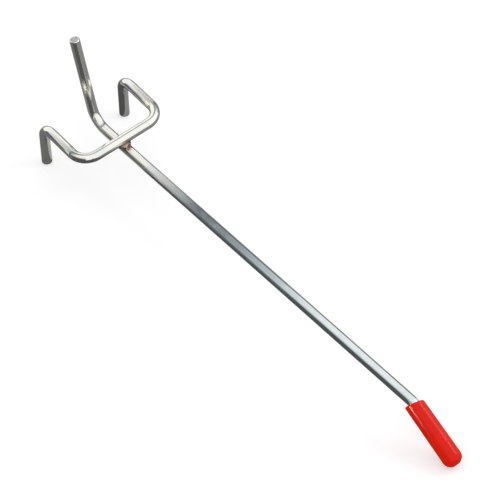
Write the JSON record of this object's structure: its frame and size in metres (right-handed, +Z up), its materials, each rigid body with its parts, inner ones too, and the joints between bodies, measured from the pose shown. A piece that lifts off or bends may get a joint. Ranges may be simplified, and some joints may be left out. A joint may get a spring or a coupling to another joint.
{
  "type": "pegboard hook",
  "caption": "Bent and welded wire pegboard hook: a long straight arm with an upright tail, a cross wire whose prongs fit the board's holes, and a push-on tip cap.",
  "frame": {"origin": "middle of the footprint, on the table plane that the prong tips and the cap stand on", "axes": "+Z up as the hook lies in the picture, -Y along the arm towards the cap, X across the prongs"},
  "size_m": [0.0554, 0.2934, 0.0744],
  "materials": {
    "zinc_wire": "bright zinc plate on drawn wire",
    "weld_metal": "heat-tinted weld",
    "red_vinyl": "glossy dip-moulded vinyl"
  },
  "bodies": {
    "root": {"main_wire": "zinc_wire", "cross_wire": "zinc_wire", "weld_bead": "weld_metal", "tip_cap": "red_vinyl"}
  },
  "joints": []
}
